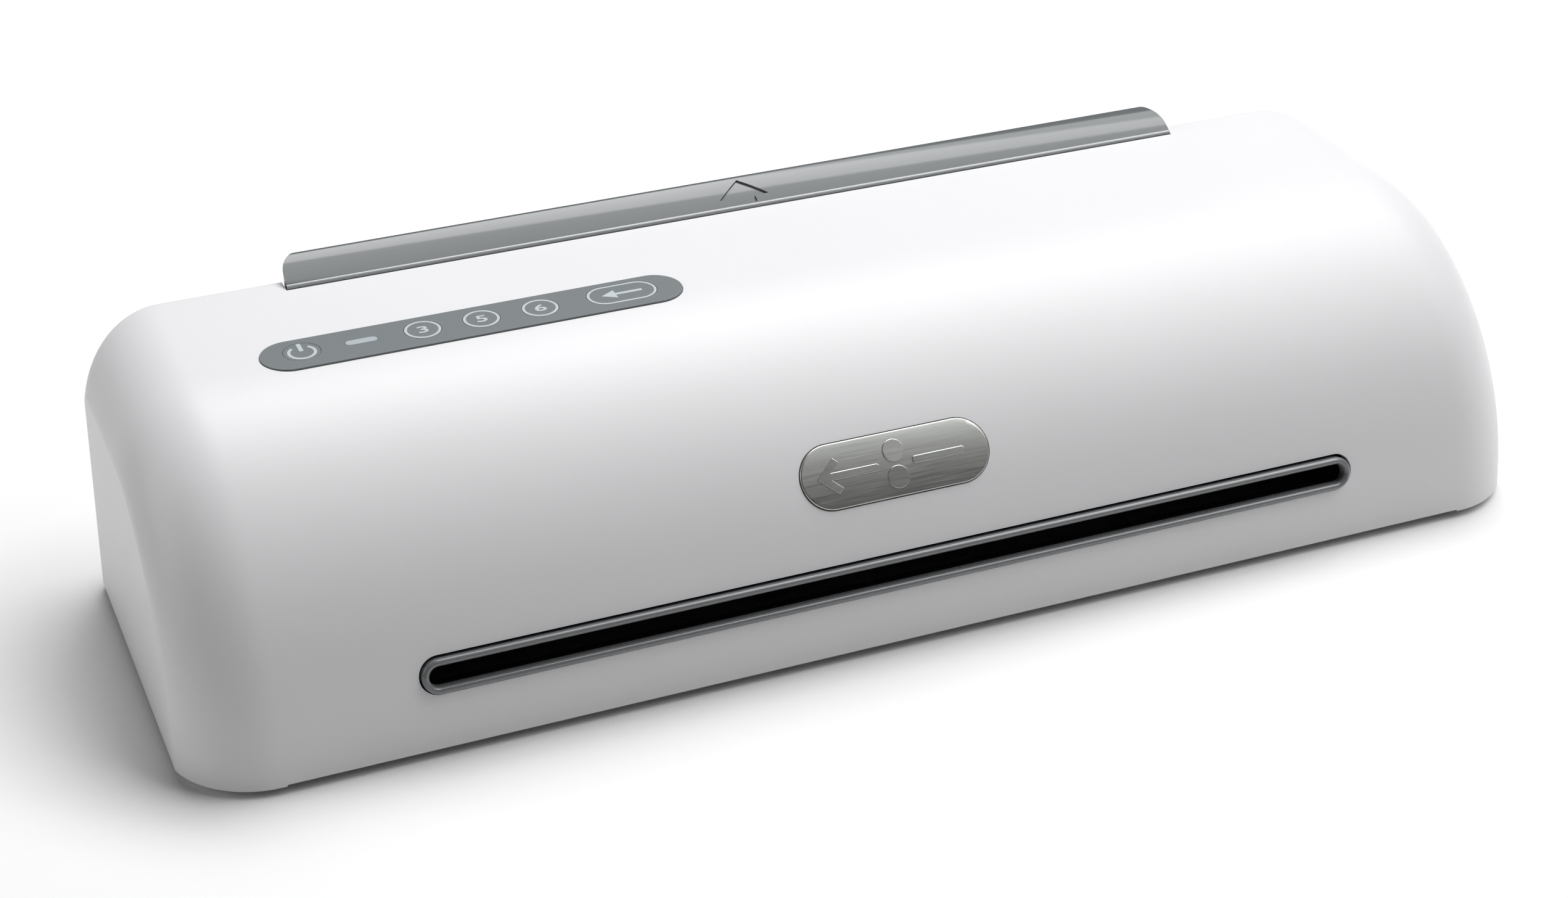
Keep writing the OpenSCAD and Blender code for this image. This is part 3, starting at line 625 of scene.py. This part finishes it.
def hollow_skin():
    """The whole cover before any cut: outer and inner skins, joined along their lower edges."""
    rings = housing_rings(0)
    verts, faces = skin(rings)
    candidates = housing_normals(verts, faces)
    inner_verts, inner_faces = skin(housing_rings(WALL))
    shift = len(verts)
    faces = faces + [[shift + i for i in face][::-1] for face in inner_faces]
    size = len(rings[0])
    count = len(rings)
    edges = [(k * size + j, (k + 1) * size + j) for k in range(count - 1) for j in (0, size - 1)]
    edges += [(k * size, k * size + size - 1) for k in (0, count - 1)]
    faces += [[a, b, shift + b, shift + a] for a, b in edges]
    shell = make("housing", verts + inner_verts, faces)
    tidy_normals(shell)
    return shell, candidates


def cut_tray_notch(shell):
    outline = [(-NOTCH_HALF, NOTCH_Y), (NOTCH_HALF, NOTCH_Y), (NOTCH_HALF, BEYOND), (-NOTCH_HALF, BEYOND)]
    combine(shell, prism("notch", outline, upright, SILL_Z, BEYOND))


def cut_exit_slot(shell):
    outline = pill(BEZEL_L + 2 * BEZEL_GAP, BEZEL_W + 2 * BEZEL_GAP, 24, (0, BEZEL_LIFT))
    combine(shell, prism("slot", outline, in_slot, -8 * MM, 8 * MM))


def cut_badge_seat(shell):
    combine(shell, wrapped_pill("badge_seat", BADGE_L + 2 * BADGE_GAP, BADGE_W + 2 * BADGE_GAP,
                                -BADGE_DEPTH, 3 * MM))


def cut_panel_seat(shell):
    combine(shell, prism("panel_seat", panel_outline(PANEL_GAP, 24), upright,
                         TOP_Z - PANEL_SINK, TOP_Z + 5 * MM))
    for name in KEYS:
        combine(shell, prism("hole", key_outline(name, KEY_GAP), upright, TOP_Z - 2 * WALL, TOP_Z + WALL))


def cut_gland_hole(shell):
    gland = middle("cord_gland")
    combine(shell, prism("gland_hole", circle((gland.x, gland.z), GLAND_SEAT_R, 48), along_y,
                         REAR_Y - 3 * WALL, REAR_Y + WALL))


def cut_front_relief(shell):
    """Thin gap under the front wall, between the two rounded ends."""
    front = FRONT_Y - WALL
    back = FRONT_Y + RELIEF_DEPTH
    outline = [(-RELIEF_HALF, front), (RELIEF_HALF, front), (RELIEF_HALF, back), (-RELIEF_HALF, back)]
    combine(shell, prism("front_relief", outline, upright, -SHELL_Z, SHELL_Z + RELIEF_RISE))


def build_housing():
    shell, candidates = hollow_skin()
    cut_tray_notch(shell)
    cut_exit_slot(shell)
    cut_badge_seat(shell)
    cut_panel_seat(shell)
    cut_gland_hole(shell)
    cut_front_relief(shell)
    smooth(shell, 30)
    aim_normals(shell, candidates)
    place_piece(shell, "housing", "housing_white", ("top_cover",))


build_housing()


# ---------------------------------------------------------------- badge
def build_badge():
    plate = wrapped_pill("badge", BADGE_L, BADGE_W, -BADGE_DEPTH, BADGE_RISE, BADGE_RIM_R)
    smooth(plate)
    place_piece(plate, "housing", "badge_metal", ("badge_plate",))


def build_badge_picture():
    """Raised picture of a sheet that leaves two rollers, and an arrow at its left end."""
    sheet_l = 14 * MM
    sheet_w = 1.9 * MM
    sheet_x = 11.2 * MM
    roller_r = 2.8 * MM
    roller_y = 3.2 * MM
    chevron = [(-15.6, 4.4), (-20.4, 0), (-15.6, -4.4), (-14.2, -3.1), (-17.6, 0), (-14.2, 3.1)]
    shapes = {
        "badge_sheet_left": pill(sheet_l, sheet_w, 12, (-sheet_x, 0)),
        "badge_sheet_right": pill(sheet_l, sheet_w, 12, (sheet_x, 0)),
        "badge_roller_upper": circle((0, roller_y), roller_r, 48),
        "badge_roller_lower": circle((0, -roller_y), roller_r, 48),
        "badge_arrow": [(x * MM, y * MM) for x, y in chevron],
    }
    for name, outline in shapes.items():
        relief = prism(name, outline, on_front, BADGE_RISE - 0.25 * MM, BADGE_RISE + 0.24 * MM)
        bevel(relief, 0.2 * MM, segments=3)
        smooth(relief, 60)
        place_piece(relief, "housing", "badge_metal")


build_badge()
build_badge_picture()


# ---------------------------------------------------------------- exit bezel
def swept_ring(name, section):
    """Ring round the slot. The section's points are (distance in from the bezel's edge, height)."""
    steps = 24
    half = (BEZEL_L - BEZEL_W) / 2
    path = [(side * half, math.cos(a), math.sin(a))
            for side, start in ((1, -math.pi / 2), (-1, math.pi / 2))
            for a in [start + math.pi * k / steps for k in range(steps + 1)]]
    verts = []
    for x, across, up in path:
        verts += [in_slot(x + (BEZEL_W / 2 - inward) * across, (BEZEL_W / 2 - inward) * up, height)
                  for inward, height in section]
    size = len(section)
    faces = []
    for k in range(len(path)):
        n = (k + 1) % len(path)
        faces += [[k * size + j, n * size + j, n * size + (j + 1) % size, k * size + (j + 1) % size]
                  for j in range(size)]
    ring = make(name, verts, faces)
    tidy_normals(ring)
    smooth(ring)
    return ring


def build_bezel():
    """Grey front ring with a domed face, and the throat with a flange at its back, coloured black as
    painted shade inside the slot.
    """
    bar = BEZEL_W / 2 - SLOT_H * math.cos(SLOT_LEAN) / 2
    dome = bar * 0.62
    crown = BEZEL_PROUD - dome
    back = -BEZEL_BACK
    front = [(0, back), (0, crown)]
    front += [(bar / 2 - bar / 2 * math.cos(a), crown + dome * math.sin(a))
              for a in [math.pi * k / 12 for k in range(1, 12)]]
    front += [(bar, crown), (bar, back)]
    place_piece(swept_ring("bezel_front", front), "housing", "bezel_grey", ("exit_bezel",))
    flange_front = -BEZEL_DEPTH + BEZEL_BACK
    throat = [(0, back), (bar, back), (bar, -BEZEL_DEPTH), (-BEZEL_FLANGE, -BEZEL_DEPTH),
              (-BEZEL_FLANGE, flange_front), (0, flange_front)]
    # painted shade: the grey throat takes the near-black guide colour so the inside of the slot reads
    # dark
    place_piece(swept_ring("bezel_throat_painted_shade", throat), "housing", "bezel_grey", material="guide_black")


build_bezel()


# ---------------------------------------------------------------- feed tray
def tray_outline(inset, open_y):
    """Section of the tray: strip, shoulder, rear face round the hinge, and the open inner side."""
    strip = arc(STRIP_C, STRIP_R - inset, STRIP_START, STRIP_END, 16)
    if inset < SHOULDER_R:
        shoulder = arc(SHOULDER_C, SHOULDER_R - inset, STRIP_END, 0, 10)[1:]
    else:
        shoulder = [SHOULDER_C]
    hub = arc(HINGE, HUB_R - inset, 0, -math.pi / 2, 14)
    inner = [(HINGE[0] - 2.6 * MM, HINGE[1] - 2.6 * MM), (open_y + LIP_BACK, HINGE[1] + 2 * MM),
             (open_y, TOP_Z - 2.6 * MM)]
    return strip + shoulder + hub + inner


def tray_plan(inset):
    """The tray from above, with its two rounded rear corners."""
    half = TRAY_HALF - inset
    radius = TRAY_EDGE_R - inset
    back = TRAY_REAR - inset
    front = 20 * MM
    return ([(-half, front), (half, front)]
            + arc((half - radius, back - radius), radius, 0, math.pi / 2, 14)
            + arc((-half + radius, back - radius), radius, math.pi / 2, math.pi, 14))


def tray_block(name, inset, open_y):
    block = prism(name, tray_outline(inset, open_y), along_x, -BEYOND, BEYOND)
    combine(block, prism("plan", tray_plan(inset), upright, 0, BEYOND), "INTERSECT")
    return block


def tray_normals(point):
    """Normals of the tray's rounded surfaces through a point."""
    found = []
    for centre, radius in ((STRIP_C, STRIP_R), (SHOULDER_C, SHOULDER_R), (HINGE, HUB_R)):
        away = Vector((0, point.y - centre[0], point.z - centre[1]))
        if abs(away.length - radius) < 0.03 * MM:
            found.append(away.normalized())
    corner = (TRAY_HALF - TRAY_EDGE_R, TRAY_REAR - TRAY_EDGE_R)
    away = Vector((abs(point.x) - corner[0], point.y - corner[1], 0))
    if min(away.x, away.y) > 0 and abs(away.length - TRAY_EDGE_R) < 0.03 * MM:
        away.x = math.copysign(away.x, point.x)
        found.append(away.normalized())
    return found


def sunk_arrow():
    """Cutter for the arrow sunk into the strip, which points the way that the tray opens."""
    head = [(0, 5.7), (-6.8, 0), (-3, 0), (-3, -1.7), (3, -1.7), (3, 0), (6.8, 0)]
    outline = [((x - 1.3) * MM, SHOULDER_C[0] + (y - 7) * MM) for x, y in head]
    arrow = prism("arrow", outline, upright, TOP_Z, TOP_Z + 10 * MM)
    low = TOP_Z - 9 * MM
    below = (arc(STRIP_C, STRIP_R - ARROW_DEPTH, STRIP_START, STRIP_END, 24)
             + [(SHOULDER_C[0], low), (LIP_Y - 2 * MM, low)])
    combine(arrow, prism("floor", below, along_x, -20 * MM, 20 * MM))
    return arrow


def build_tray_shell():
    shell = tray_block("feed_tray_shell", 0, LIP_Y + LIP_BACK)
    combine(shell, tray_block("hollow", TRAY_WALL, 30 * MM))
    combine(shell, sunk_arrow())
    bevel(shell, 0.22 * MM, angle=32)
    smooth(shell, 32)
    aim_normals(shell, tray_normals)
    place_piece(shell, "feed_tray", "tray_grey", ("feed_tray",))


def build_tray_bead():
    """Rounded lip along the strip's front edge, coloured lighter than the strip as a painted highlight.
    """
    centre = (LIP_Y + TRAY_BEAD_R, TOP_Z + 0.2 * MM)
    bead = prism("tray_bead", circle(centre, TRAY_BEAD_R, 20), along_x, -TRAY_HALF, TRAY_HALF)
    smooth(bead)
    place_piece(bead, "feed_tray", "tray_grey", material="tray_lip_painted_highlight")


def build_tray_barrel():
    """Hinge barrel with a bore for a pin at each end."""
    half = TRAY_HALF - 1 * MM
    barrel = prism("tray_barrel", circle(HINGE, TRAY_BARREL_R, 40), along_x, -half, half)
    inner = TRAY_HALF - TRAY_BORE_L
    outer = TRAY_HALF + 3 * MM
    for low, high in ((-outer, -inner), (inner, outer)):
        combine(barrel, prism("bore", circle(HINGE, TRAY_BORE_R, 32), along_x, low, high))
    smooth(barrel)
    place_piece(barrel, "feed_tray", "tray_grey")


def build_tray_ribs():
    outline = tray_outline(TRAY_WALL - 0.1 * MM, LIP_Y + LIP_BACK)
    for k in range(9):
        x = (k - 4) * TRAY_RIB_PITCH
        rib = prism("tray_rib_%d" % (k + 1), outline, along_x, x - TRAY_RIB_W / 2, x + TRAY_RIB_W / 2)
        bevel(rib, 0.2 * MM)
        smooth(rib)
        place_piece(rib, "feed_tray", "tray_grey")


build_tray_shell()
build_tray_bead()
build_tray_barrel()
build_tray_ribs()


# ---------------------------------------------------------------- control panel
def legend(name, outline, body, hole=None):
    """Printed mark, a hair above the panel and the keys."""
    mark = prism(name, outline, upright, PANEL_TOP - LEGEND_SINK, PANEL_TOP + LEGEND_RISE)
    if hole:
        combine(mark, prism("hole", hole, upright, PANEL_TOP - 1 * MM, PANEL_TOP + 1 * MM))
    place_piece(mark, body, "panel_grey", material="legend")


def printed_ring(name):
    """Printed line round a key."""
    width = 0.6 * MM if name == "reverse_key" else 0.65 * MM
    legend("ring_" + name, key_outline(name, -RING_INSET), name, key_outline(name, -RING_INSET - width))


def number(text, spot, body):
    """Printed numeral, wider than the font's own."""
    curve = bpy.data.curves.new("numeral_" + text, "FONT")
    curve.body = text
    curve.size = NUMERAL_H
    curve.align_x = "CENTER"
    curve.align_y = "CENTER"
    curve.offset = NUMERAL_BOLD
    curve.extrude = NUMERAL_T
    holder = bpy.data.objects.new("numeral_" + text, curve)
    bpy.context.scene.collection.objects.link(holder)
    graph = bpy.context.evaluated_depsgraph_get()
    mesh = bpy.data.meshes.new_from_object(holder.evaluated_get(graph))
    bpy.data.objects.remove(holder)
    for vert in mesh.vertices:
        vert.co.x *= NUMERAL_STRETCH
    xs = [v.co.x for v in mesh.vertices]
    ys = [v.co.y for v in mesh.vertices]
    shift = Vector((spot.x - (min(xs) + max(xs)) / 2, spot.y - (min(ys) + max(ys)) / 2,
                    PANEL_TOP + LEGEND_RISE - NUMERAL_T))
    for vert in mesh.vertices:
        vert.co += shift
    mark = bpy.data.objects.new("printed_" + text, mesh)
    bpy.context.scene.collection.objects.link(mark)
    place_piece(mark, body, "panel_grey", material="legend")


def power_symbol():
    """Open ring with a bar through its gap."""
    spot = KEYS["power_key"]
    inner = 2.75 * MM
    outer = 3.5 * MM
    half_gap = math.radians(38)
    first = math.pi / 2 + half_gap
    last = 5 * math.pi / 2 - half_gap
    centre = (spot.x, spot.y - 0.3 * MM)
    ring = arc(centre, outer, first, last, 40) + arc(centre, inner, last, first, 40)
    legend("power_mark_ring", ring, "power_key")
    left = spot.x - 0.5 * MM
    right = spot.x + 0.5 * MM
    low = spot.y + 0.3 * MM
    high = spot.y + 4.2 * MM
    legend("power_mark_bar", [(left, low), (right, low), (right, high), (left, high)], "power_key")


def reverse_symbol():
    """Arrow to the left, for a pouch that is fed back out."""
    spot = KEYS["reverse_key"]
    arrow = [(5.2, 0.5), (-1.6, 0.5), (-1.6, 2.1), (-5.2, 0), (-1.6, -2.1), (-1.6, -0.5), (5.2, -0.5)]
    legend("reverse_mark", [(spot.x + x * MM, spot.y + y * MM) for x, y in arrow], "reverse_key")


def build_key(name):
    """Key cap, the flange that keeps it in the housing, and the stem over its switch."""
    low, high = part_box(name)
    flange_top = TOP_Z - WALL - KEY_FLANGE_DROP
    flange_low = flange_top - KEY_FLANGE_T
    stem = circle((KEYS[name].x, KEYS[name].y), KEY_STEM_R, 24)
    pieces = {
        "cap_" + name: prism("cap", key_outline(name, 0), upright, flange_top - KEY_CAP_SINK, high[2]),
        "flange_" + name: prism("flange", key_outline(name, KEY_FLANGE), upright, flange_low, flange_top),
        "stem_" + name: prism("stem", stem, upright, low[2], flange_low + KEY_STEM_SINK),
    }
    for piece_name, piece in pieces.items():
        piece.name = piece_name
        bevel(piece, 0.12 * MM)
        smooth(piece)
        place_piece(piece, name, "panel_grey", (name,) if piece_name.startswith("cap") else ())


def build_panel():
    plate = prism("control_panel", panel_outline(0, 32), upright, TOP_Z - PANEL_SINK, PANEL_TOP)
    lens = middle("ready_lens")
    holes = [key_outline(name, KEY_GAP / 2) for name in KEYS]
    holes.append(pill(LENS_L, LENS_W, 16, (lens.x, lens.y)))
    for hole in holes:
        combine(plate, prism("hole", hole, upright, TOP_Z - 3 * MM, TOP_Z + 3 * MM))
    bevel(plate, 0.1 * MM)
    smooth(plate)
    place_piece(plate, "housing", "panel_grey", ("control_overlay",))


def build_keys():
    for name, spot in KEYS.items():
        build_key(name)
        if name != "power_key":
            printed_ring(name)
        if name[-1].isdigit():
            number(name[-1], spot, name)
    power_symbol()
    reverse_symbol()


build_panel()
build_keys()


# ---------------------------------------------------------------- the CAD parts that stay
slot_of = {part["node"]: part["material_slot"] for part in frame["record"]["subparts"]}
for node_name, obj in frame["nodes"].items():
    obj.data.materials.clear()
    obj.data.materials.append(MATERIALS[slot_of[node_name]])


# ---------------------------------------------------------------- studio
# the camera that was fitted to the photograph
CAMERA_AT = (-0.24823, -0.57648, 0.38420)
CAMERA_YAW = math.radians(22.406)
CAMERA_PITCH = math.radians(29.836)
CAMERA_ROLL = math.radians(0.15)
CAMERA_LENS = 65.21
CAMERA_SENSOR = 36
WORLD_LIGHT = 0.03
FLOOR_HALF = 4
AIM = (0, 0, 0.04)


def add_camera():
    data = bpy.data.cameras.new("camera")
    data.lens = CAMERA_LENS
    data.sensor_width = CAMERA_SENSOR
    camera = bpy.data.objects.new("camera", data)
    forward = Vector((math.sin(CAMERA_YAW) * math.cos(CAMERA_PITCH),
                      math.cos(CAMERA_YAW) * math.cos(CAMERA_PITCH), -math.sin(CAMERA_PITCH)))
    level = Vector((math.cos(CAMERA_YAW), -math.sin(CAMERA_YAW), 0))
    down = forward.cross(level)
    right = math.cos(CAMERA_ROLL) * level + math.sin(CAMERA_ROLL) * down
    up = -(-math.sin(CAMERA_ROLL) * level + math.cos(CAMERA_ROLL) * down)
    turn = Matrix((right, up, -forward)).transposed()
    camera.matrix_world = Matrix.Translation(CAMERA_AT) @ turn.to_4x4()
    bpy.context.scene.collection.objects.link(camera)
    bpy.context.scene.camera = camera


def add_area(name, at, size_x, size_y, power):
    """Soft rectangular light that faces the machine."""
    data = bpy.data.lights.new(name, "AREA")
    data.energy = power
    data.shape = "RECTANGLE"
    data.size = size_x
    data.size_y = size_y
    light = bpy.data.objects.new(name, data)
    light.location = at
    light.rotation_euler = (Vector(AIM) - Vector(at)).to_track_quat("-Z", "Y").to_euler()
    bpy.context.scene.collection.objects.link(light)


def add_studio():
    bpy.context.scene.view_settings.view_transform = "Standard"
    corners = [(-FLOOR_HALF, -FLOOR_HALF, 0), (FLOOR_HALF, -FLOOR_HALF, 0),
               (FLOOR_HALF, FLOOR_HALF, 0), (-FLOOR_HALF, FLOOR_HALF, 0)]
    floor = make("floor", corners, [[0, 1, 2, 3]])
    floor.data.materials.append(plastic("floor_paper", (0.83, 0.83, 0.83), 0.8, grain=400, mottle=0.004))
    world = bpy.data.worlds.new("studio")
    bpy.context.scene.world = world
    world.use_nodes = True
    world.node_tree.nodes["Background"].inputs["Color"].default_value = (1, 1, 1, 1)
    world.node_tree.nodes["Background"].inputs["Strength"].default_value = WORLD_LIGHT
    add_area("top_light", (0.45, 0.25, 1.4), 1.6, 0.8, 18.8)
    # the tray's strip mirrors this one as its long light band
    add_area("band_light", (0.5, 0.66, 1.3), 1.8, 0.45, 12.5)
    add_area("right_light", (0.9, -0.45, 1.0), 0.9, 0.6, 5.5)
    add_area("left_light", (-1.3, 0.3, 0.5), 0.8, 0.6, 4.6)
    add_area("back_light", (0.5, 1.6, 0.25), 2.4, 0.4, 0.5)


add_camera()
add_studio()
